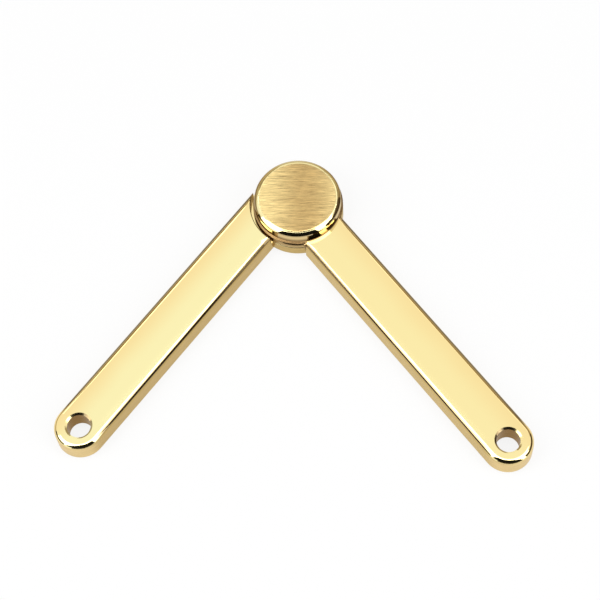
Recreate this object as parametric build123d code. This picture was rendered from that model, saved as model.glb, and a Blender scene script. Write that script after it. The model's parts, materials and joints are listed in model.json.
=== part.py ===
"""Folding friction lid stay: two half-lapped bar arms on a riveted hub with a brushed cap.

Frame: millimetres, +Z up, origin on the hinge axis in the plane of the flat backs. The stay lies
on its back as it is supplied, opened to REST_ANGLE, with both arms pointing towards -Y.
"""
from build123d import *
import os
from math import cos, radians, sin

# Arms
ARM_WIDTH = 12.3
ARM_THICKNESS = 6.0
LOWER_REACH = 80.0
UPPER_REACH = 82.45
LOWER_OFFSET = 5.35
UPPER_OFFSET = 0.3
EDGE_ROUND = 1.25
BACK_EDGE = 0.35
HOLE_RADIUS = 2.9
HOLE_BEVEL = 0.5
HOLE_BACK_BEVEL = 0.2

# Hub discs, which meet a little above the middle of the arms' thickness
HUB_RADIUS = 11.5
LAP_PLANE = 3.55
LAP_GAP = 0.2
SCOOP_RADIUS = 12.2
SCOOP_BEVEL = 0.2
DISC_EDGE = 0.45
LAP_EDGE = 0.15

# Opening angles between the two arms
REST_ANGLE = 75.4
FOLDED_ANGLE = 34.0
STRAIGHT_ANGLE = 180.0

# Stop: a lug on the lower lap runs in an arc groove under the upper lap
STOP_RADIUS = 9.7
LUG_WIDTH = 1.4
LUG_HEIGHT = 1.0
LUG_SPAN = 14.0
GROOVE_CLEARANCE = 0.1
GROOVE_SPARE = 2.0

# Rivet and the friction pack
JOURNAL_RADIUS = 3.0
JOURNAL_CLEARANCE = 0.03
FLATS = 4.8
KEY_CLEARANCE = 0.03
HEAD_RADIUS = 5.5
HEAD_HEIGHT = 1.4
HEAD_BEVEL = 0.3
HEAD_CLEARANCE = 0.2
TENON_RADIUS = 2.2
TENON_FLATS = 3.4
RIVETED_RADIUS = 3.8
RIVETED_HEIGHT = 0.6
RIVETED_BEVEL = 0.4
WASHER_BORE = JOURNAL_RADIUS + 0.1
LAP_WASHER_RADIUS = 8.2
LAP_WASHER_SINK = 0.4
PACK_WASHER_RADIUS = 7.2
PACK_WASHER_THICKNESS = 0.5
POCKET_DEPTH = 1.2
POCKET_CLEARANCE = 0.2
SPRING_RADIUS = 6.2
SPRING_THICKNESS = 0.4
SPRING_DISH = 0.25
SPRING_BORE = 3.15
KEYED_WASHER_RADIUS = 6.2
KEYED_WASHER_THICKNESS = 0.5

# Cap and the ring that it is pressed over
CAP_RADIUS = 11.05
CAP_HEIGHT = 3.2
CAP_BEVEL_WIDTH = 1.0
CAP_BEVEL_DROP = 0.6
CAP_ROOF = 1.1
CAP_FACE_ROUND = 0.5
CAP_RIM_BREAK = 0.15
RING_RADIUS = 9.3
RING_WALL = 1.1
RING_HEIGHT = 1.0
PRESS_CLEARANCE = 0.02

# Overlap of bodies that are joined, and the slack allowed when edges are picked by position
JOIN = 0.2
SLACK = 0.001

# Levels worked out from the sizes above
LOWER_LAP = LAP_PLANE - LAP_GAP / 2
UPPER_LAP = LAP_PLANE + LAP_GAP / 2
POCKET_FLOOR = ARM_THICKNESS - POCKET_DEPTH
SPRING_BASE = POCKET_FLOOR + PACK_WASHER_THICKNESS
SPRING_STEP = SPRING_THICKNESS + SPRING_DISH
SHOULDER = SPRING_BASE + 2 * SPRING_STEP
RIVETED_BASE = SHOULDER + KEYED_WASHER_THICKNESS
CAP_TOP = ARM_THICKNESS + CAP_HEIGHT

# Directions of the arms, and of the stop lug, about the hinge axis in degrees
LOWER_DIRECTION = -90.0 - REST_ANGLE / 2
UPPER_DIRECTION = -90.0 + REST_ANGLE / 2
OPENING_TRAVEL = STRAIGHT_ANGLE - REST_ANGLE
FOLDING_TRAVEL = FOLDED_ANGLE - REST_ANGLE
LUG_DIRECTION = UPPER_DIRECTION + 180.0 + (OPENING_TRAVEL + FOLDING_TRAVEL) / 2


def drum(radius, bottom, top):
    """Upright cylinder on the hinge axis between two levels."""
    return Pos(0, 0, bottom) * extrude(Circle(radius), top - bottom)


def ring(outer, inner, bottom, top):
    """Upright tube on the hinge axis between two levels."""
    return drum(outer, bottom, top) - drum(inner, bottom, top)


def arc_block(radius, width, span, bottom, top):
    """Curved block centred on direction +X, with square ends."""
    half = radians(span / 2)
    reach = 2 * (radius + width)
    wedge = Polygon((0, 0), (reach * cos(half), -reach * sin(half)), (reach, 0),
                    (reach * cos(half), reach * sin(half)), align=None)
    sector = Pos(0, 0, bottom) * extrude(wedge, top - bottom)
    return ring(radius + width / 2, radius - width / 2, bottom, top) & sector


def flatted(radius, flats, bottom, top):
    """Round bar with two flats, on the hinge axis."""
    return Pos(0, 0, bottom) * extrude(Circle(radius) & Rectangle(2 * radius, flats), top - bottom)


def edges_at(solid, level):
    """Edges that lie wholly in one horizontal plane."""
    return solid.edges().filter_by_position(Axis.Z, level - SLACK, level + SLACK)


def bar(reach, offset):
    """Full-thickness bar along +X with a round free end, polished round at its top edge."""
    side = ARM_WIDTH / 2
    outline = Pos(reach / 2, offset) * Rectangle(reach, ARM_WIDTH) + Pos(reach, offset) * Circle(side)
    body = extrude(outline, ARM_THICKNESS)
    rim = [edge for edge in edges_at(body, ARM_THICKNESS) if edge.center().X > SLACK]
    body = fillet(rim, EDGE_ROUND)
    back = [edge for edge in edges_at(body, 0) if edge.center().X > SLACK]
    return chamfer(back, BACK_EDGE)


def screw_hole(reach, offset):
    """Hole for the fixing screw, bevelled at both faces."""
    bore = extrude(Circle(HOLE_RADIUS), ARM_THICKNESS)
    top = Pos(0, 0, ARM_THICKNESS - HOLE_BEVEL / 2) * Cone(
        HOLE_RADIUS, HOLE_RADIUS + HOLE_BEVEL, HOLE_BEVEL)
    back = Pos(0, 0, HOLE_BACK_BEVEL / 2) * Cone(
        HOLE_RADIUS + HOLE_BACK_BEVEL, HOLE_RADIUS, HOLE_BACK_BEVEL)
    return Pos(reach, offset) * (bore + top + back)


def make_lower_arm():
    """Arm that carries the lower half of the lap, keyed to the rivet."""
    body = bar(LOWER_REACH, -LOWER_OFFSET)
    scoop = drum(SCOOP_RADIUS, LOWER_LAP, ARM_THICKNESS + 1)
    lip = Pos(0, 0, ARM_THICKNESS - SCOOP_BEVEL / 2) * Cone(
        SCOOP_RADIUS, SCOOP_RADIUS + SCOOP_BEVEL, SCOOP_BEVEL)
    body = body - scoop - lip
    disc = drum(HUB_RADIUS, 0, LOWER_LAP)
    disc = chamfer(edges_at(disc, LOWER_LAP), LAP_EDGE)
    disc = chamfer(edges_at(disc, 0), BACK_EDGE)
    body = body + disc
    body = body - drum(HEAD_RADIUS + HEAD_CLEARANCE, 0, HEAD_HEIGHT)
    body = body - flatted(JOURNAL_RADIUS + KEY_CLEARANCE, FLATS + 2 * KEY_CLEARANCE, 0, LOWER_LAP)
    body = body - drum(LAP_WASHER_RADIUS + HEAD_CLEARANCE, LOWER_LAP - LAP_WASHER_SINK, LOWER_LAP)
    lug = arc_block(STOP_RADIUS, LUG_WIDTH, LUG_SPAN, LOWER_LAP - JOIN, LOWER_LAP + LUG_HEIGHT)
    body = body + Rot(0, 0, LUG_DIRECTION - LOWER_DIRECTION) * lug
    body = body - screw_hole(LOWER_REACH, -LOWER_OFFSET)
    return Rot(0, 0, LOWER_DIRECTION) * body


def make_upper_arm():
    """Arm that carries the upper half of the lap, the spring pocket and the cap's ring."""
    body = bar(UPPER_REACH, UPPER_OFFSET)
    body = body - drum(SCOOP_RADIUS, -1, UPPER_LAP)
    disc = drum(HUB_RADIUS, UPPER_LAP, ARM_THICKNESS)
    disc = fillet(edges_at(disc, ARM_THICKNESS), DISC_EDGE)
    body = body + disc + drum(RING_RADIUS, ARM_THICKNESS - JOIN, ARM_THICKNESS + RING_HEIGHT)
    body = body - drum(RING_RADIUS - RING_WALL, ARM_THICKNESS, CAP_TOP)
    body = body - drum(PACK_WASHER_RADIUS + POCKET_CLEARANCE, POCKET_FLOOR, CAP_TOP)
    body = body - drum(JOURNAL_RADIUS + JOURNAL_CLEARANCE, 0, CAP_TOP)
    body = body - drum(LAP_WASHER_RADIUS + HEAD_CLEARANCE, 0, UPPER_LAP + LAP_WASHER_SINK)
    groove_span = LUG_SPAN + OPENING_TRAVEL - FOLDING_TRAVEL + GROOVE_SPARE
    groove = arc_block(STOP_RADIUS, LUG_WIDTH + 2 * GROOVE_CLEARANCE, groove_span,
                       0, LOWER_LAP + LUG_HEIGHT + GROOVE_CLEARANCE)
    body = body - Rot(0, 0, 180) * groove
    body = body - screw_hole(UPPER_REACH, UPPER_OFFSET)
    return Rot(0, 0, UPPER_DIRECTION) * body


def make_pivot_rivet():
    """Headed pin: flatted neck, round journal, and a tenon riveted over the keyed washer."""
    head = drum(HEAD_RADIUS, 0, HEAD_HEIGHT)
    head = chamfer(edges_at(head, 0), HEAD_BEVEL)
    neck = flatted(JOURNAL_RADIUS, FLATS, HEAD_HEIGHT - JOIN, LOWER_LAP)
    journal = drum(JOURNAL_RADIUS, LOWER_LAP, SHOULDER)
    tenon = flatted(TENON_RADIUS, TENON_FLATS, SHOULDER - JOIN, RIVETED_BASE + JOIN)
    riveted = drum(RIVETED_RADIUS, RIVETED_BASE, RIVETED_BASE + RIVETED_HEIGHT)
    riveted = chamfer(edges_at(riveted, RIVETED_BASE + RIVETED_HEIGHT), RIVETED_BEVEL)
    pin = head + neck + journal + tenon + riveted
    return Rot(0, 0, LOWER_DIRECTION) * pin


def make_lap_washer():
    """Plastic washer that keeps the two laps apart."""
    return ring(LAP_WASHER_RADIUS, WASHER_BORE,
                LOWER_LAP - LAP_WASHER_SINK, UPPER_LAP + LAP_WASHER_SINK)


def make_pack_washer():
    """Plastic washer between the upper arm and the springs."""
    return ring(PACK_WASHER_RADIUS, WASHER_BORE, POCKET_FLOOR, SPRING_BASE)


def disc_spring(base, rising_inwards):
    """Dished spring disc between two levels, turned from its slanted section."""
    low_radius = SPRING_RADIUS if rising_inwards else SPRING_BORE
    high_radius = SPRING_BORE if rising_inwards else SPRING_RADIUS
    section = Polygon((low_radius, base), (low_radius, base + SPRING_THICKNESS),
                      (high_radius, base + SPRING_STEP), (high_radius, base + SPRING_DISH),
                      align=None)
    return revolve(Plane.XZ * section, Axis.Z)


def make_keyed_washer():
    """Steel washer that the rivet turns with."""
    washer = drum(KEYED_WASHER_RADIUS, SHOULDER, RIVETED_BASE)
    hole = flatted(TENON_RADIUS + KEY_CLEARANCE, TENON_FLATS + 2 * KEY_CLEARANCE, SHOULDER, RIVETED_BASE)
    return Rot(0, 0, LOWER_DIRECTION) * (washer - hole)


def make_cap():
    """Turned cap with a flat face and a bevelled rim, hollow over the friction pack."""
    section = Polygon((0, CAP_TOP - CAP_ROOF), (0, CAP_TOP), (CAP_RADIUS - CAP_BEVEL_WIDTH, CAP_TOP),
                      (CAP_RADIUS, CAP_TOP - CAP_BEVEL_DROP), (CAP_RADIUS, ARM_THICKNESS),
                      (RING_RADIUS + PRESS_CLEARANCE, ARM_THICKNESS),
                      (RING_RADIUS + PRESS_CLEARANCE, CAP_TOP - CAP_ROOF), align=None)
    cap = revolve(Plane.XZ * section, Axis.Z)
    cap = fillet(edges_at(cap, CAP_TOP), CAP_FACE_ROUND)
    return chamfer(edges_at(cap, CAP_TOP - CAP_BEVEL_DROP), CAP_RIM_BREAK)


PIECES = {
    "lower_arm": make_lower_arm(),
    "upper_arm": make_upper_arm(),
    "pivot_rivet": make_pivot_rivet(),
    "lap_friction_washer": make_lap_washer(),
    "pack_friction_washer": make_pack_washer(),
    "disc_spring_lower": disc_spring(SPRING_BASE, True),
    "disc_spring_upper": disc_spring(SPRING_BASE + SPRING_STEP, False),
    "keyed_washer": make_keyed_washer(),
    "cap": make_cap(),
}

os.makedirs("parts", exist_ok=True)
for name, piece in PIECES.items():
    export_step(piece, f"parts/{name}.step")
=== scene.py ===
"""Looks of a folding friction lid stay: gold-plated arms, a brushed cap and a steel rivet on a pale floor."""

import json
import logging
import math
from dataclasses import dataclass, field
from enum import Enum
from typing import Any

import bpy
from mathutils import Matrix, Vector

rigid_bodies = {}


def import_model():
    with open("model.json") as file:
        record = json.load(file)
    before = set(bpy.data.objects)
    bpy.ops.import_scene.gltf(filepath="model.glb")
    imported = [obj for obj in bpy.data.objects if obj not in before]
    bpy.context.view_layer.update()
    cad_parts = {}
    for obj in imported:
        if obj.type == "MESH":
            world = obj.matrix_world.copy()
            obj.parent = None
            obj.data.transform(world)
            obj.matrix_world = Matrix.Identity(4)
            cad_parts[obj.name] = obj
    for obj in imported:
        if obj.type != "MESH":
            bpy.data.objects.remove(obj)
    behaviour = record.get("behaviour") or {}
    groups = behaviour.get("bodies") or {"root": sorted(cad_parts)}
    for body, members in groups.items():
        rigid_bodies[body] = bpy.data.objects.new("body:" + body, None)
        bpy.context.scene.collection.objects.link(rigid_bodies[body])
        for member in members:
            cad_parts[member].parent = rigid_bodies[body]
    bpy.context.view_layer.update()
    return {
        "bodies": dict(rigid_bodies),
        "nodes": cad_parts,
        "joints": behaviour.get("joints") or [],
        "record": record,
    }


log = logging.getLogger("lid_stay")

MM = 0.001
LAMP_POWER = 4.0  # watts for each square metre of a lamp that a mirror shows as white
MIX_COLOURS = (6, 7)  # a Mix node's two colour inputs, which share their names with other inputs
MIX_RESULT = 2  # its colour output
WHITE = (1.0, 1.0, 1.0)

Triple = tuple[float, float, float]
Colour = Triple
Span = tuple[float, float]  # values at which a mask is 0 and 1


class Turn(Enum):
    """Way round the hinge axis, seen from above the cap."""

    ANTICLOCKWISE = 1.0
    CLOCKWISE = -1.0


@dataclass(frozen=True)
class Pattern:
    """A noise in the piece's own frame.

    Stretch is features per metre along each axis, layers and strength are the number and weight of its finer
    layers, and turn is the angle of its first axis from +X in degrees.
    """

    stretch: Triple
    layers: float
    strength: float = 0.5
    turn: float = 0.0


class Socket:
    """A node's output socket that can be used in Python expressions."""

    def __init__(self, shader: "Shader", output: bpy.types.NodeSocket) -> None:
        """Wrap one output.

        Args:
            shader: The node tree that the output belongs to.
            output: The output socket itself.
        """
        self.shader = shader
        self.output = output

    def _maths(self, operation: str, first: Any, second: Any) -> "Socket":
        """Add one Math node.

        Args:
            operation: The Math node's operation.
            first: Its first value or socket.
            second: Its second value or socket.

        Returns:
            The node's result.
        """
        return self.shader.node("ShaderNodeMath", {"operation": operation}, {0: first, 1: second})

    def __add__(self, other: Any) -> "Socket":
        """Sum."""
        return self._maths("ADD", self, other)

    def __radd__(self, other: Any) -> "Socket":
        """Sum, reflected."""
        return self._maths("ADD", other, self)

    def __sub__(self, other: Any) -> "Socket":
        """Difference."""
        return self._maths("SUBTRACT", self, other)

    def __rsub__(self, other: Any) -> "Socket":
        """Difference, reflected."""
        return self._maths("SUBTRACT", other, self)

    def __mul__(self, other: Any) -> "Socket":
        """Product."""
        return self._maths("MULTIPLY", self, other)

    def __rmul__(self, other: Any) -> "Socket":
        """Product, reflected."""
        return self._maths("MULTIPLY", other, self)

    def __neg__(self) -> "Socket":
        """Negative."""
        return self._maths("MULTIPLY", self, -1.0)

    def __abs__(self) -> "Socket":
        """Size without sign."""
        return self._maths("ABSOLUTE", self, 0.0)

    def __pow__(self, other: Any) -> "Socket":
        """Power."""
        return self._maths("POWER", self, other)

    def __and__(self, other: Any) -> "Socket":
        """Both masks: the smaller of the two."""
        return self._maths("MINIMUM", self, other)

    def __or__(self, other: Any) -> "Socket":
        """Either mask: the larger of the two."""
        return self._maths("MAXIMUM", self, other)

    def rises(self, span: Span) -> "Socket":
        """Mask that goes smoothly from 0 at the span's first value to 1 at its second.

        Args:
            span: The two values; the second is the lower one for a falling mask.

        Returns:
            The mask.
        """
        rising = span[0] < span[1]
        return self.shader.node(
            "ShaderNodeMapRange",
            {"interpolation_type": "SMOOTHSTEP"},
            {"Value": self, "From Min": min(span), "From Max": max(span),
             "To Min": 0.0 if rising else 1.0, "To Max": 1.0 if rising else 0.0},
        )


class Shader:
    """A node tree that is filled from Python expressions."""

    def __init__(self, owner: bpy.types.Material | bpy.types.World) -> None:
        """Clear the owner's tree and start anew.

        Args:
            owner: The material or world.
        """
        owner.use_nodes = True
        self.tree = owner.node_tree
        self.tree.nodes.clear()

    def plug(self, target: bpy.types.NodeSocket, value: Any) -> None:
        """Give an input socket its value or link.

        Args:
            target: The input.
            value: A Socket, a number, or a colour or vector.
        """
        if isinstance(value, Socket):
            self.tree.links.new(value.output, target)
        elif isinstance(value, tuple) and target.type == "RGBA":
            target.default_value = (*value, 1.0)
        else:
            target.default_value = value

    def add(self, kind: str, settings: dict[str, Any], inputs: dict[int | str, Any]) -> bpy.types.Node:
        """Add a node.

        Args:
            kind: The node's type.
            settings: Its own settings.
            inputs: Values or links of its sockets, by name or number.

        Returns:
            The node.
        """
        node = self.tree.nodes.new(kind)
        for name, value in settings.items():
            setattr(node, name, value)
        for name, value in inputs.items():
            self.plug(node.inputs[name], value)
        return node

    def node(self, kind: str, settings: dict[str, Any], inputs: dict[int | str, Any],
             output: int | str = 0) -> Socket:
        """Add a node and take one of its outputs.

        Args:
            kind: The node's type.
            settings: Its own settings.
            inputs: Values or links of its sockets.
            output: Name or number of the wanted output.

        Returns:
            That output.
        """
        return Socket(self, self.add(kind, settings, inputs).outputs[output])

    def split(self, vector: Socket) -> tuple[Socket, Socket, Socket]:
        """The three parts of a vector.

        Args:
            vector: The vector.

        Returns:
            Its x, y and z.
        """
        node = self.add("ShaderNodeSeparateXYZ", {}, {"Vector": vector})
        return tuple(Socket(self, output) for output in node.outputs)

    def place(self) -> Socket:
        """Position in the piece's own frame, in metres."""
        return self.node("ShaderNodeTexCoord", {}, {}, "Object")

    def place_in_mm(self) -> tuple[Socket, Socket, Socket]:
        """Position in the piece's own frame as x, y and z in millimetres."""
        return tuple(part * (1.0 / MM) for part in self.split(self.place()))

    def up(self) -> Socket:
        """How far the surface faces up.

        Returns:
            Upward part of its normal in the piece's own frame, 1 on a face that lies flat.
        """
        facing = self.node("ShaderNodeNewGeometry", {}, {}, "Normal")
        turned = self.node("ShaderNodeVectorTransform",
                           {"vector_type": "NORMAL", "convert_from": "WORLD", "convert_to": "OBJECT"},
                           {"Vector": facing})
        return self.split(turned)[2]

    def noise(self, pattern: Pattern) -> Socket:
        """Cloudy or streaky noise between 0 and 1.

        Args:
            pattern: Its stretch, turn and finer layers.

        Returns:
            The noise.
        """
        turned = self.node("ShaderNodeMapping", {"vector_type": "POINT"},
                           {"Vector": self.place(), "Rotation": (0.0, 0.0, math.radians(-pattern.turn))})
        at = self.node("ShaderNodeVectorMath", {"operation": "MULTIPLY"}, {0: turned, 1: pattern.stretch})
        return self.node(
            "ShaderNodeTexNoise", {},
            {"Vector": at, "Scale": 1.0, "Detail": pattern.layers, "Roughness": pattern.strength}, "Fac")

    def blend(self, mask: Socket, first: Socket | Colour, second: Socket | Colour) -> Socket:
        """Colour between two colours.

        Args:
            mask: 0 for the first, 1 for the second.
            first: Colour where the mask is 0.
            second: Colour where the mask is 1.

        Returns:
            The colour.
        """
        colours = dict(zip(MIX_COLOURS, (first, second)))
        return self.node("ShaderNodeMix", {"data_type": "RGBA"}, {"Factor": mask, **colours}, MIX_RESULT)

    def shaded(self, colour: Socket, shade: Socket) -> Socket:
        """Colour made lighter or darker.

        Args:
            colour: The colour.
            shade: Factor on it.

        Returns:
            The new colour.
        """
        return self.node("ShaderNodeVectorMath", {"operation": "SCALE"}, {0: colour, "Scale": shade})

    def relief(self, height: Socket, distance: float = MM, strength: float = 1.0) -> Socket:
        """Normal bent by a height.

        Args:
            height: The height, in units of the distance.
            distance: Unit of the height, in metres.
            strength: Share of it that shows.

        Returns:
            The normal.
        """
        return self.node("ShaderNodeBump", {},
                         {"Strength": strength, "Distance": distance, "Height": height}, "Normal")

    def seen(self) -> Socket:
        """Tell what is looked at from what only lights.

        Returns:
            1 for the camera and for what metal and glass show, 0 for light that falls on matt surfaces.
        """
        rays = self.add("ShaderNodeLightPath", {}, {})
        return (Socket(self, rays.outputs["Is Camera Ray"]) | Socket(self, rays.outputs["Is Glossy Ray"])
                | Socket(self, rays.outputs["Is Transmission Ray"]))

    def principled(self, **inputs: Any) -> Socket:
        """Principled surface.

        Args:
            **inputs: Values or links by socket name, with underscores for spaces.

        Returns:
            The surface.
        """
        return self.node("ShaderNodeBsdfPrincipled", {},
                         {name.replace("_", " "): value for name, value in inputs.items()})

    def glow(self, colour: Colour) -> Socket:
        """Surface that shines with its colour."""
        return self.node("ShaderNodeEmission", {}, {"Color": colour, "Strength": 1.0})

    def finish(self, surface: Socket) -> None:
        """Make a surface the material's own."""
        self.add("ShaderNodeOutputMaterial", {}, {"Surface": surface})


def new_material(name: str) -> tuple[bpy.types.Material, Shader]:
    """Make a material whose node tree is still empty.

    Args:
        name: The material's name.

    Returns:
        The material and its node tree.
    """
    material = bpy.data.materials.new(name)
    return material, Shader(material)


@dataclass(frozen=True)
class ArmLayout:
    """How one arm lies in the stay, and where the zones of its surface begin and end.

    Lengths are in millimetres. A radius is measured from the hinge axis, a height from the flat back, past
    from the screw hole outwards along the arm, and inward from the arm's middle line towards the other arm.
    Up is the upward part of the surface's normal. Sideways is the middle line's distance from the hinge axis.
    """

    hole: tuple[float, float]
    sideways: float
    other_arm: Turn
    face_up: Span = (0.40, 0.65)
    hole_mouth: Span = (3.6, 3.4)
    hole_rim_up: Span = (0.98, 0.90)
    bar_hub_end_radius: Span = (11.8, 12.4)
    bar_hole_end_past: Span = (1.0, -3.0)
    bevel_up: Span = (0.96, 0.86)
    near_bevel_up: Span = (0.985, 0.93)
    bevel_foot_up: Span = (0.30, 0.50)
    near_side_inward: Span = (-1.0, 1.0)
    hub_edge_radius: Span = (42.0, 20.0)
    hub_edge_up: Span = (0.99, 0.96)
    disc_wall_radius: Span = (11.85, 11.8)
    disc_wall_height: Span = (3.55, 3.6)
    disc_wall_up: Span = (0.90, 0.70)
    recess_radius: Span = (12.45, 12.3)
    recess_top_height: Span = (5.8, 5.7)
    recess_floor_height: Span = (3.45, 3.53)
    # the ledge zone carries only painted shade round the foot of the cap
    ledge_height: Span = (5.4, 5.45)
    ledge_radius: Span = (11.35, 11.2)
    ledge_edge_radius: Span = (11.7, 11.6)
    ledge_edge_up: Span = (0.97, 0.93)

    @property
    def reach(self) -> float:
        """Distance of the screw hole from the hinge axis, measured along the arm."""
        return math.sqrt(self.hole[0] ** 2 + self.hole[1] ** 2 - self.sideways ** 2)

    @property
    def heading(self) -> float:
        """Direction of the arm away from the hinge, in radians from +X."""
        return math.atan2(self.hole[1], self.hole[0]) - math.atan2(self.sideways, self.reach)


class ArmZones:
    """Distances over one arm's surface in millimetres, and masks of its zones."""

    def __init__(self, shader: Shader, layout: ArmLayout) -> None:
        """Work out the distances and masks.

        Args:
            shader: The node tree that they are made in.
            layout: The arm's lie and the limits of its zones.
        """
        x, y, self.height = shader.place_in_mm()
        self.up = shader.up()
        cos, sin = math.cos(layout.heading), math.sin(layout.heading)
        across = y * cos - x * sin - layout.sideways
        self.along = x * cos + y * sin
        self.inward = across * layout.other_arm.value
        self.past = self.along - layout.reach
        self.from_hole = (self.past * self.past + across * across) ** 0.5
        self.radius = (x * x + y * y) ** 0.5
        self.disc_wall, self.recess, self.ledge = self.hub_masks(layout)
        self.near_side, self.bevel, self.hub_edge = self.edge_masks(layout)
        self.satin = 1.0 - (self.up.rises(layout.face_up) | self.disc_wall)
        self.hole = self.from_hole.rises(layout.hole_mouth)
        self.hole_rim = self.hole & self.up.rises(layout.hole_rim_up)

    def hub_masks(self, layout: ArmLayout) -> tuple[Socket, Socket, Socket]:
        """Masks round the hub.

        Args:
            layout: The limits of the zones.

        Returns:
            The disc's wall, the recess that the other arm's disc turns in, and the ledge round the cap.
        """
        disc_wall = (self.radius.rises(layout.disc_wall_radius)
                     & self.height.rises(layout.disc_wall_height) & self.up.rises(layout.disc_wall_up))
        recess = (self.radius.rises(layout.recess_radius)
                  & self.height.rises(layout.recess_top_height)
                  & self.height.rises(layout.recess_floor_height))
        ledge_edge = self.radius.rises(layout.ledge_edge_radius) & self.up.rises(layout.ledge_edge_up)
        ledge = (self.radius.rises(layout.ledge_radius) | ledge_edge) & self.height.rises(layout.ledge_height)
        return disc_wall, recess, ledge

    def edge_masks(self, layout: ArmLayout) -> tuple[Socket, Socket, Socket]:
        """Masks along the edges of the bar's face.

        Args:
            layout: The limits of the zones.

        Returns:
            The half towards the other arm, the bevelled edges, and those edges where they come near the hub.
        """
        standing = self.up.rises(layout.bevel_foot_up)
        straight = self.past.rises(layout.bar_hole_end_past) & self.radius.rises(layout.bar_hub_end_radius)
        near_side = self.inward.rises(layout.near_side_inward)
        bevel_up = self.up.rises(layout.bevel_up) | (self.up.rises(layout.near_bevel_up) & near_side)
        hub_edge = self.radius.rises(layout.hub_edge_radius) & self.up.rises(layout.hub_edge_up) & standing
        return near_side, bevel_up & standing & straight, hub_edge


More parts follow.
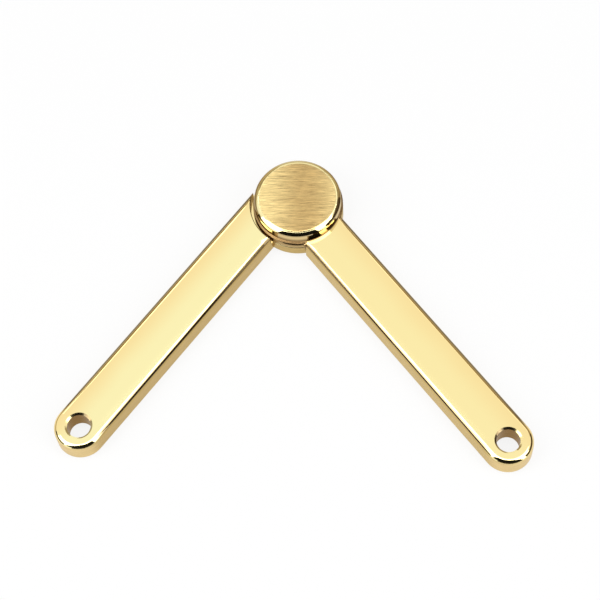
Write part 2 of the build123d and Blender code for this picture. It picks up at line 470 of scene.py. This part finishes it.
@dataclass(frozen=True)
class GoldPlate:
    """Gold plating on one arm: mirror faces, satin side walls, and painted shade and reflection.

    Lengths are in millimetres, and zones are measured as in ArmLayout. The crown is the slope that polishing
    left along the edge towards the other arm, and its taper is the share lost for each millimetre along the
    arm. The roll is the slope along the outer edge. A rounding or barrel is slope for each millimetre.
    """

    name: str
    layout: ArmLayout
    mirror: Colour = (0.97, 0.88, 0.46)
    # painted shade: the mirror face darkens to this colour towards its outer edge
    mirror_outer_painted_shade: Colour = (0.955, 0.75, 0.345)
    # painted reflection: the bevels are dark for the dark studio they reflect, darker on the outer side
    bevel: Colour = (0.32, 0.24, 0.12)
    bevel_outer_painted_reflection: Colour = (0.17, 0.13, 0.07)
    # partly painted shade: the satin walls are darker than the plating, for their satin finish and for the
    # shaded floor they reflect
    satin: Colour = (0.62, 0.44, 0.165)
    # painted light: the end walls are lighter than the side walls
    satin_end_painted_light: Colour = (0.87, 0.66, 0.31)
    # painted shade: the bore of the screw hole is dark brown
    bore: Colour = (0.26, 0.13, 0.02)
    # painted shade: the disc's wall in the hub recess is darkened
    disc_wall: Colour = (0.48, 0.34, 0.16)
    # painted shade: the recess and the ledge round the foot of the cap are dark brown
    recess: Colour = (0.26, 0.165, 0.07)
    grazing_tint: Colour = (0.98, 0.92, 0.80)
    mirror_roughness: float = 0.035
    haze_roughness: float = 0.02
    satin_roughness: float = 0.30
    grain_roughness: float = 0.12
    hole_rim_roughness: float = 0.16
    crown_roughness: float = 0.10
    recess_roughness: float = 0.20
    hub_edge_roughness: float = 0.36
    haze: Pattern = Pattern((900.0, 900.0, 900.0), 3.0)
    clouds: Pattern = Pattern((60.0, 60.0, 60.0), 2.0)
    grain: Pattern = Pattern((220.0, 220.0, 5200.0), 3.0, 0.6)
    cloud_width: float = 3.0
    # painted shade: inward distances over which the face darkens towards its outer edge
    outer_shade_inward: Span = (-4.5, 3.0)
    # painted light: where the walls turn lighter towards the end of the arm
    end_wall_past: Span = (-1.0, 3.0)
    grain_shade: float = 0.52
    grain_light: float = 0.15
    grain_depth: float = 0.01
    crown_start: float = 2.2
    crown_end: float = 4.4
    crown_slope: float = 0.145
    crown_taper: float = 0.0105
    crown_past: Span = (1.0, -12.0)
    crown_radius: Span = (11.8, 14.8)
    crown_haze_width: float = 1.0
    crown_haze_up: Span = (0.97, 0.99)
    crown_haze_past: Span = (2.0, -6.0)
    roll_start: float = 4.4
    roll_end: float = 5.65
    roll_rounding: float = 0.20
    wall_foot: float = 3.60
    wall_lean: float = 0.25
    wall_barrel: float = 0.30
    hole_rim_start: float = 3.5
    hole_rim_slope: float = 0.5

    def colour(self, shader: Shader, zones: ArmZones, grain: Socket) -> Socket:
        """Colour of the plating.

        Args:
            shader: The node tree.
            zones: The arm's zones.
            grain: Grain of the satin walls.

        Returns:
            The colour.
        """
        # painted light and shade: the satin side walls are darker and the end walls lighter
        side = shader.blend(zones.past.rises(self.end_wall_past), self.satin, self.satin_end_painted_light)
        # painted shade: the mirror face darkens towards its outer edge, the start made cloudy by noise
        outer = (zones.inward + shader.noise(self.clouds) * self.cloud_width).rises(self.outer_shade_inward)
        # painted reflection: the bevelled edges take dark colours for the dark studio they reflect
        face = shader.blend(zones.bevel, shader.blend(outer, self.mirror_outer_painted_shade, self.mirror),
                            shader.blend(zones.near_side, self.bevel_outer_painted_reflection, self.bevel))
        # painted shade: the satin walls and, darker, the bore of the screw hole
        tone = shader.blend(zones.satin, face, shader.blend(zones.hole, side, self.bore))
        # painted shade: the recess that the other arm's disc turns in, and the disc's wall in it
        tone = shader.blend(zones.recess, tone, shader.blend(zones.disc_wall, self.recess, self.disc_wall))
        # painted shade: a dark line on the ledge round the foot of the cap
        tone = shader.blend(zones.ledge, tone, self.recess)
        return shader.shaded(tone, 1.0 - zones.satin * (grain * self.grain_shade - self.grain_light))

    def roughness(self, shader: Shader, zones: ArmZones, grain: Socket) -> Socket:
        """Roughness of the plating: the base, or a zone's own where that is higher.

        Args:
            shader: The node tree.
            zones: The arm's zones.
            grain: Grain of the satin walls.

        Returns:
            The roughness.
        """
        crown = (zones.inward.rises((self.crown_start - self.crown_haze_width, self.crown_end))
                 & zones.up.rises(self.crown_haze_up) & zones.past.rises(self.crown_haze_past))
        satin = self.satin_roughness - self.mirror_roughness + (grain - 0.5) * self.grain_roughness
        haze = shader.noise(self.haze) * self.haze_roughness
        roughness = self.mirror_roughness + haze + zones.satin * satin
        for zone, level in ((zones.hole_rim, self.hole_rim_roughness),
                            (crown, self.crown_roughness),
                            (zones.recess, self.recess_roughness),
                            (zones.hub_edge, self.hub_edge_roughness)):
            roughness = roughness | zone * level
        return roughness

    def height(self, zones: ArmZones, grain: Socket) -> Socket:
        """Height of the finished surface above the plain solid, in millimetres.

        Args:
            zones: The arm's zones.
            grain: Grain of the satin walls.

        Returns:
            The height.
        """
        fade = zones.past.rises(self.crown_past) & zones.radius.rises(self.crown_radius)
        over = (zones.inward - self.crown_start) | 0.0
        rounding = self.crown_slope / (self.crown_end - self.crown_start)
        crown = over * over * (1.0 - zones.along * self.crown_taper) * (0.5 * rounding)
        beyond = ((-zones.inward & self.roll_end) - self.roll_start) | 0.0
        roll = beyond * beyond * (0.5 * self.roll_rounding)
        above = zones.height - self.wall_foot
        wall = zones.disc_wall * above * (above * (0.5 * self.wall_barrel) + self.wall_lean)
        hole_rim = zones.hole_rim * (self.hole_rim_start - zones.from_hole) * self.hole_rim_slope
        return grain * zones.satin * self.grain_depth + hole_rim - fade * (crown + roll) - wall

    def build(self) -> bpy.types.Material:
        """Make the material.

        Returns:
            The material.
        """
        material, shader = new_material(self.name)
        zones = ArmZones(shader, self.layout)
        grain = shader.noise(self.grain)
        shader.finish(shader.principled(
            Base_Color=self.colour(shader, zones, grain), Roughness=self.roughness(shader, zones, grain),
            Metallic=1.0, Specular_Tint=self.grazing_tint, Normal=shader.relief(self.height(zones, grain))))
        return material


@dataclass(frozen=True)
class CapPlate:
    """Gold plating on the cap: straight-brushed face, rounded mirror bevel, rim and barrelled wall.

    Lengths are in millimetres, radii from the hinge axis and heights from the flat back. Up is the upward
    part of the surface's normal. The roll turns the front of the face down into the bevel. A rounding or
    flare is slope for each millimetre. Painted shade darkens the face's middle and the wall's foot.
    """

    name: str = "brushed_gold_plate"
    brushed: Colour = (0.78, 0.61, 0.275)
    # painted shade: the brushed face darkens to this colour in its middle
    brushed_middle_painted_shade: Colour = (0.50, 0.345, 0.14)
    mirror: Colour = (0.97, 0.85, 0.44)
    # painted reflection: the rounded rim is dark for the dark studio it reflects
    rim: Colour = (0.50, 0.39, 0.20)
    # painted shade: the wall darkens from this colour at its top to the next at its foot
    wall_top: Colour = (0.72, 0.54, 0.26)
    wall_foot: Colour = (0.26, 0.17, 0.075)
    mirror_roughness: float = 0.035
    brushed_roughness: float = 0.30
    streak_roughness: float = 0.3
    long_streaks: Pattern = Pattern((130.0, 3200.0, 0.0), 3.0, 0.65, turn=-1.0)
    fine_streaks: Pattern = Pattern((400.0, 9000.0, 0.0), 2.0, 0.6, turn=-1.0)
    # painted shade: noisy bands in the darkening of the face's middle
    bands: Pattern = Pattern((90.0, 420.0, 0.0), 2.0, 0.5, turn=-1.0)
    band_shade: float = 0.5
    streak_shade: float = 3.1
    streak_depth: float = 0.02
    face_up: Span = (0.985, 0.995)
    face_radius: Span = (10.0, 9.6)
    # painted shade: the face's middle, where it darkens, and how far the darkening reaches
    middle: float = 2.0
    middle_reach: Span = (12.0, 0.5)
    # painted reflection: where the darkened rim lies
    rim_radius: Span = (10.45, 10.75)
    rim_up: Span = (0.15, 0.35)
    side_up: Span = (0.35, 0.15)
    # painted shade: heights over which the wall darkens towards its foot
    wall_height: Span = (6.3, 7.8)
    roll_start: float = 9.5
    roll_front: Span = (-5.0, -9.0)
    roll_rounding: float = 0.95
    bevel_start: float = 10.05
    bevel_slope: float = 0.11
    bevel_rounding: float = 0.25
    barrel_top: float = 8.6
    barrel_lean: float = 0.14
    barrel_flare: float = 0.10

    def build(self) -> bpy.types.Material:
        """Make the material.

        Returns:
            The material.
        """
        material, shader = new_material(self.name)
        x, y, z = shader.place_in_mm()
        up = shader.up()
        radius = (x * x + y * y) ** 0.5
        face = up.rises(self.face_up) & radius.rises(self.face_radius)
        side = up.rises(self.side_up)
        rim = radius.rises(self.rim_radius) & up.rises(self.rim_up)
        streaks = (shader.noise(self.long_streaks) + shader.noise(self.fine_streaks)) * 0.5
        # painted shade: the brushed face darkens towards its middle, in noisy bands
        middle = (abs(x - self.middle).rises(self.middle_reach)
                  + (shader.noise(self.bands) - 0.5) * self.band_shade)
        top = shader.blend(face, self.mirror, shader.blend(middle, self.brushed, self.brushed_middle_painted_shade))
        # painted shade: the wall darkens towards its foot
        wall = shader.blend(z.rises(self.wall_height), self.wall_foot, self.wall_top)
        # painted reflection darkens the rim, and painted shade the wall towards its foot
        tone = shader.blend(side, shader.blend(rim, top, self.rim), wall)
        brushed = face * face
        shade = 1.0 + brushed * (streaks - 0.5) * self.streak_shade
        roughness = self.mirror_roughness + face * (
            self.brushed_roughness - self.mirror_roughness + (streaks - 0.5) * self.streak_roughness)
        height = streaks * brushed * self.streak_depth + self.bevel(y, radius) + side * self.barrel(z)
        shader.finish(shader.principled(
            Base_Color=shader.shaded(tone, shade), Roughness=roughness, Metallic=1.0,
            Normal=shader.relief(height)))
        return material

    def bevel(self, y: Socket, radius: Socket) -> Socket:
        """Height that rounds the bevel and rolls the front of the face down into it.

        Args:
            y: Place from front to back.
            radius: Distance from the hinge axis.

        Returns:
            The height.
        """
        rolled = ((radius & self.bevel_start) - self.roll_start) | 0.0
        roll = rolled * rolled * y.rises(self.roll_front) * (0.5 * self.roll_rounding)
        past = (radius - self.bevel_start) | 0.0
        return past * (self.bevel_slope - 0.5 * self.bevel_rounding * past) - roll

    def barrel(self, z: Socket) -> Socket:
        """Height that leans the wall and flares its foot.

        Args:
            z: Height above the flat back.

        Returns:
            The height.
        """
        below = self.barrel_top - z
        return below * below * (0.5 * self.barrel_flare) - z * self.barrel_lean


@dataclass(frozen=True)
class Steel:
    """Plain zinc-plated steel of the rivet, springs and washer. The depth of its specks is in metres."""

    name: str = "zinc_plated_steel"
    colour: Colour = (0.62, 0.62, 0.63)
    cloud_shade: float = 0.85
    roughness: float = 0.32
    cloud_roughness: float = 0.2
    clouds: Pattern = Pattern((700.0, 700.0, 700.0), 4.0, 0.6)
    specks: Pattern = Pattern((6000.0, 6000.0, 6000.0), 2.0)
    speck_depth: float = 0.01 * MM
    speck_strength: float = 0.4

    def build(self) -> bpy.types.Material:
        """Make the material.

        Returns:
            The material.
        """
        material, shader = new_material(self.name)
        clouds = shader.noise(self.clouds)
        dark = tuple(part * self.cloud_shade for part in self.colour)
        shader.finish(shader.principled(
            Base_Color=shader.blend(clouds, dark, self.colour), Metallic=1.0,
            Roughness=self.roughness + (clouds - 0.5) * self.cloud_roughness,
            Normal=shader.relief(shader.noise(self.specks), self.speck_depth, self.speck_strength)))
        return material


@dataclass(frozen=True)
class WasherPlastic:
    """Natural white plastic of the friction washers."""

    name: str = "natural_washer_plastic"
    colour: Colour = (0.86, 0.85, 0.80)
    cloud_shade: float = 0.92
    roughness: float = 0.45
    cloud_roughness: float = 0.1
    clouds: Pattern = Pattern((500.0, 500.0, 500.0), 3.0)
    translucence: float = 0.05

    def build(self) -> bpy.types.Material:
        """Make the material.

        Returns:
            The material.
        """
        material, shader = new_material(self.name)
        clouds = shader.noise(self.clouds)
        dark = tuple(part * self.cloud_shade for part in self.colour)
        shader.finish(shader.principled(
            Base_Color=shader.blend(clouds, dark, self.colour), Subsurface_Weight=self.translucence,
            Roughness=self.roughness + (clouds - 0.5) * self.cloud_roughness))
        return material


@dataclass
class Arms:
    """The two half-lapped arms, each with plating toned by painted light. Sideways is as in ArmLayout."""

    lower_sideways: float = -5.35
    upper_sideways: float = 0.3

    def plates(self, mounts: list[dict[str, Any]]) -> dict[str, GoldPlate]:
        """Plating of each arm.

        Args:
            mounts: The record's mounts, which give the places of the screw holes.

        Returns:
            The plating by node.
        """
        holes = {mount["name"]: tuple(part / MM for part in mount["pos_m"][:2]) for mount in mounts}
        lower = ArmLayout(holes["lower_end_hole"], self.lower_sideways, Turn.ANTICLOCKWISE)
        upper = ArmLayout(holes["upper_end_hole"], self.upper_sideways, Turn.CLOCKWISE)
        return {
            "lower_arm": GoldPlate("gold_plate_lower", lower),
            # painted light: the upper arm's copy of the same plating has a deeper mirror tone and lighter
            # bevels and satin walls, for how it is lit
            "upper_arm": GoldPlate(
                "gold_plate_upper", upper, mirror=(0.97, 0.83, 0.405), bevel=(0.42, 0.31, 0.16),
                satin=(0.71, 0.52, 0.20), crown_start=2.9, crown_slope=0.105),
        }

    def dress(self, frame: dict[str, Any]) -> None:
        """Give the arms their plating.

        Args:
            frame: The loaded frame.
        """
        for name, plate in self.plates(frame["record"]["mounts"]).items():
            frame["nodes"][name].material_slots[0].material = plate.build()
            log.info("%s: %s", name, plate.name)


@dataclass
class Hub:
    """The cap and what it covers: rivet, springs and washers."""

    cap_plate: CapPlate = field(default_factory=CapPlate)
    steel: Steel = field(default_factory=Steel)
    plastic: WasherPlastic = field(default_factory=WasherPlastic)
    steel_nodes: tuple[str, ...] = ("pivot_rivet", "disc_spring_lower", "disc_spring_upper", "keyed_washer")
    plastic_nodes: tuple[str, ...] = ("lap_friction_washer", "pack_friction_washer")

    def dress(self, frame: dict[str, Any]) -> None:
        """Give the hub's pieces their finishes.

        Args:
            frame: The loaded frame.
        """
        for names, finish in ((("cap",), self.cap_plate),
                              (self.steel_nodes, self.steel),
                              (self.plastic_nodes, self.plastic)):
            material = finish.build()
            for name in names:
                frame["nodes"][name].material_slots[0].material = material
                log.info("%s: %s", name, material.name)


def aim(at: Vector, target: Vector) -> Matrix:
    """Turn that points an object's own -Z at a target.

    Args:
        at: Where the object stands.
        target: What it faces.

    Returns:
        The turn as a 4 by 4 matrix.
    """
    return (target - at).to_track_quat("-Z", "Y").to_matrix().to_4x4()


def direction(azimuth: float, elevation: float) -> Vector:
    """Unit vector towards a place in the studio.

    Args:
        azimuth: Degrees from +X towards +Y.
        elevation: Degrees above the floor.

    Returns:
        The vector.
    """
    az, el = math.radians(azimuth), math.radians(elevation)
    return Vector((math.cos(az) * math.cos(el), math.sin(az) * math.cos(el), math.sin(el)))


def steps(span: Span, width: float) -> list[float]:
    """Even steps from one value to another, two or more.

    Args:
        span: The first and the last value.
        width: About how wide a step is.

    Returns:
        The values.
    """
    count = max(2, int((span[1] - span[0]) / width))
    return [span[0] + (span[1] - span[0]) * step / count for step in range(count + 1)]


def add_mesh(name: str, points: list[Vector], faces: list[tuple[int, ...]],
             material: bpy.types.Material) -> bpy.types.Object:
    """Add an object for the studio.

    Args:
        name: The object's name.
        points: Its corners, in metres.
        faces: Its faces, as numbers of corners.
        material: Its material.

    Returns:
        The object.
    """
    mesh = bpy.data.meshes.new(name)
    mesh.from_pydata(points, [], faces)
    mesh.materials.append(material)
    added = bpy.data.objects.new(name, mesh)
    bpy.context.scene.collection.objects.link(added)
    return added


@dataclass(frozen=True)
class Card:
    """A curved reflection card that only polished and satin metal sees.

    Azimuths and elevations are its edges in degrees, azimuth from +X towards +Y.
    """

    name: str
    azimuths: Span
    elevations: Span
    colour: Colour
    distance: float = 0.8

    def build(self, focus: Vector, step: float) -> None:
        """Make the card.

        Args:
            focus: Point that it stands round, in metres.
            step: Angle between its mesh lines, in degrees.
        """
        columns, rows = steps(self.azimuths, step), steps(self.elevations, step)
        points = [focus + direction(column, row) * self.distance for row in rows for column in columns]
        wide = len(columns)
        starts = [row * wide + column for row in range(len(rows) - 1) for column in range(wide - 1)]
        faces = [(start, start + 1, start + wide + 1, start + wide) for start in starts]
        material, shader = new_material(self.name)
        shader.finish(shader.glow(self.colour))
        card = add_mesh(self.name, points, faces, material)
        card.visible_camera = False
        card.visible_diffuse = False
        card.visible_transmission = False
        card.visible_volume_scatter = False
        card.visible_shadow = False
        log.info("%s: azimuth %.0f to %.0f", self.name, *self.azimuths)


@dataclass(frozen=True)
class Lamp:
    """A soft rectangular lamp, with its place in degrees and its size in metres.

    Level is what a mirror would show, where 1 is white.
    """

    name: str
    azimuth: float
    elevation: float
    width: float
    height: float
    level: float
    distance: float = 1.0

    def build(self, focus: Vector) -> None:
        """Make the lamp.

        Args:
            focus: Point that it faces, in metres.
        """
        data = bpy.data.lights.new(self.name, "AREA")
        data.shape = "RECTANGLE"
        data.size = self.width
        data.size_y = self.height
        data.energy = self.level * self.width * self.height * LAMP_POWER
        lamp = bpy.data.objects.new(self.name, data)
        at = focus + direction(self.azimuth, self.elevation) * self.distance
        lamp.matrix_world = Matrix.Translation(at) @ aim(at, focus)
        bpy.context.scene.collection.objects.link(lamp)
        log.info("%s: azimuth %.0f, elevation %.0f", self.name, self.azimuth, self.elevation)


@dataclass
class Studio:
    """Pale floor, white surroundings, soft lamps and reflection cards.

    Distances are in metres, and the step between a card's mesh lines is in degrees. The glow is the share of
    white in what the camera and metal see of the floor. Ambient is the level that lights matt surfaces.
    """

    floor_size: float = 3.0
    floor_level: float = -0.1 * MM
    floor_colour: Colour = (0.90, 0.90, 0.90)
    floor_roughness: float = 0.9
    floor_glow: float = 0.85
    paper: Pattern = Pattern((2500.0, 2500.0, 2500.0), 2.0)
    paper_depth: float = 0.05 * MM
    paper_strength: float = 0.1
    ambient: float = 0.30
    card_step: float = 3.0
    focus: Vector = field(default_factory=lambda: Vector((0.0, -0.03, 0.0)))
    lamps: tuple[Lamp, ...] = (
        Lamp("lamp_over", 90.0, 85.8, 0.90, 0.357, 2.1),
        Lamp("lamp_right", -24.0, 42.0, 0.55, 1.10, 2.1),
        Lamp("lamp_left", 199.0, 45.0, 0.57, 1.02, 2.1),
    )
    cards: tuple[Card, ...] = (
        Card("card_front", (-138.0, -42.0), (20.0, 84.0), (0.01, 0.01, 0.01)),
        Card("card_front_low", (-121.0, -42.0), (0.2, 20.0), (0.06, 0.045, 0.03)),
        Card("card_right", (-28.0, -12.0), (0.2, 44.0), (0.06, 0.045, 0.03)),
        Card("card_right_back", (-12.0, 32.0), (0.2, 41.0), (0.09, 0.065, 0.045)),
        Card("card_back_right_low", (32.0, 75.0), (0.2, 20.0), (0.48, 0.39, 0.27)),
        Card("card_back_right", (32.0, 75.0), (20.0, 47.0), (0.34, 0.27, 0.19)),
        Card("card_back", (75.0, 105.0), (0.2, 16.0), (0.50, 0.42, 0.31)),
        Card("card_back_left_low", (105.0, 132.0), (0.2, 13.0), (0.53, 0.43, 0.31)),
        Card("card_back_left", (105.0, 132.0), (13.0, 47.0), (0.34, 0.27, 0.19)),
        Card("card_strip_left", (106.0, 131.0), (47.0, 58.0), (2.3, 2.3, 2.3)),
        Card("card_strip_right", (45.0, 76.0), (47.0, 57.0), (1.35, 1.35, 1.35)),
        Card("card_left_back", (132.0, 172.0), (0.2, 25.0), (0.46, 0.39, 0.28)),
        Card("card_left", (172.0, 214.0), (0.2, 31.0), (0.08, 0.06, 0.04)),
    )

    def build_floor(self) -> None:
        """Make the floor, which turns white for the camera and in metal but keeps its shadow."""
        half = self.floor_size / 2
        corners = [Vector((x, y, self.floor_level))
                   for x, y in ((-half, -half), (half, -half), (half, half), (-half, half))]
        material, shader = new_material("floor_paper")
        relief = shader.relief(shader.noise(self.paper), self.paper_depth, self.paper_strength)
        lit = shader.principled(Base_Color=self.floor_colour, Roughness=self.floor_roughness,
                                Specular_IOR_Level=0.0, Normal=relief)
        shader.finish(shader.node("ShaderNodeMixShader", {},
                                  {0: shader.seen() * self.floor_glow, 1: lit, 2: shader.glow(WHITE)}))
        add_mesh("floor", corners, [(0, 1, 2, 3)], material)
        log.info("floor: %.1f m square", self.floor_size)

    def build_surroundings(self) -> None:
        """Make white surroundings, dimmer for matt surfaces than for the camera and polished metal."""
        world = bpy.data.worlds.new("studio")
        shader = Shader(world)
        strength = self.ambient + shader.seen() * (1.0 - self.ambient)
        background = shader.node("ShaderNodeBackground", {}, {"Color": WHITE, "Strength": strength})
        shader.add("ShaderNodeOutputWorld", {}, {"Surface": background})
        bpy.context.scene.world = world

    def build(self) -> None:
        """Set up the whole studio."""
        self.build_floor()
        self.build_surroundings()
        for lamp in self.lamps:
            lamp.build(self.focus)
        for card in self.cards:
            card.build(self.focus, self.card_step)


@dataclass
class Camera:
    """Camera that looks down at the stay from the front.

    Distances are in metres, angles in degrees, and the lens and sensor in millimetres.
    """

    distance: float = 0.4688
    azimuth: float = -85.28
    elevation: float = 64.91
    roll: float = -5.09
    target: Vector = field(default_factory=lambda: Vector((0.00034, -0.02447, 0.0)))
    focal_length: float = 111.32
    sensor: float = 36.0
    clip_start: float = 0.01

    def build(self) -> None:
        """Make the camera the scene's own."""
        data = bpy.data.cameras.new("camera")
        data.lens = self.focal_length
        data.sensor_width = self.sensor
        data.clip_start = self.clip_start
        camera = bpy.data.objects.new("camera", data)
        at = self.target + direction(self.azimuth, self.elevation) * self.distance
        turn = aim(at, self.target) @ Matrix.Rotation(math.radians(self.roll), 4, "Z")
        camera.matrix_world = Matrix.Translation(at) @ turn
        bpy.context.scene.collection.objects.link(camera)
        bpy.context.scene.camera = camera
        log.info("camera: %.0f mm lens at %.2f m", self.focal_length, self.distance)


def main() -> None:
    """Load the frame, dress it, and set up the studio and the camera."""
    logging.basicConfig(level=logging.INFO, format="%(name)s: %(message)s")
    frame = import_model()
    Arms().dress(frame)
    Hub().dress(frame)
    Studio().build()
    Camera().build()
    bpy.context.scene.view_settings.view_transform = "Standard"
    bpy.context.view_layer.update()


if __name__ == "__main__":
    main()
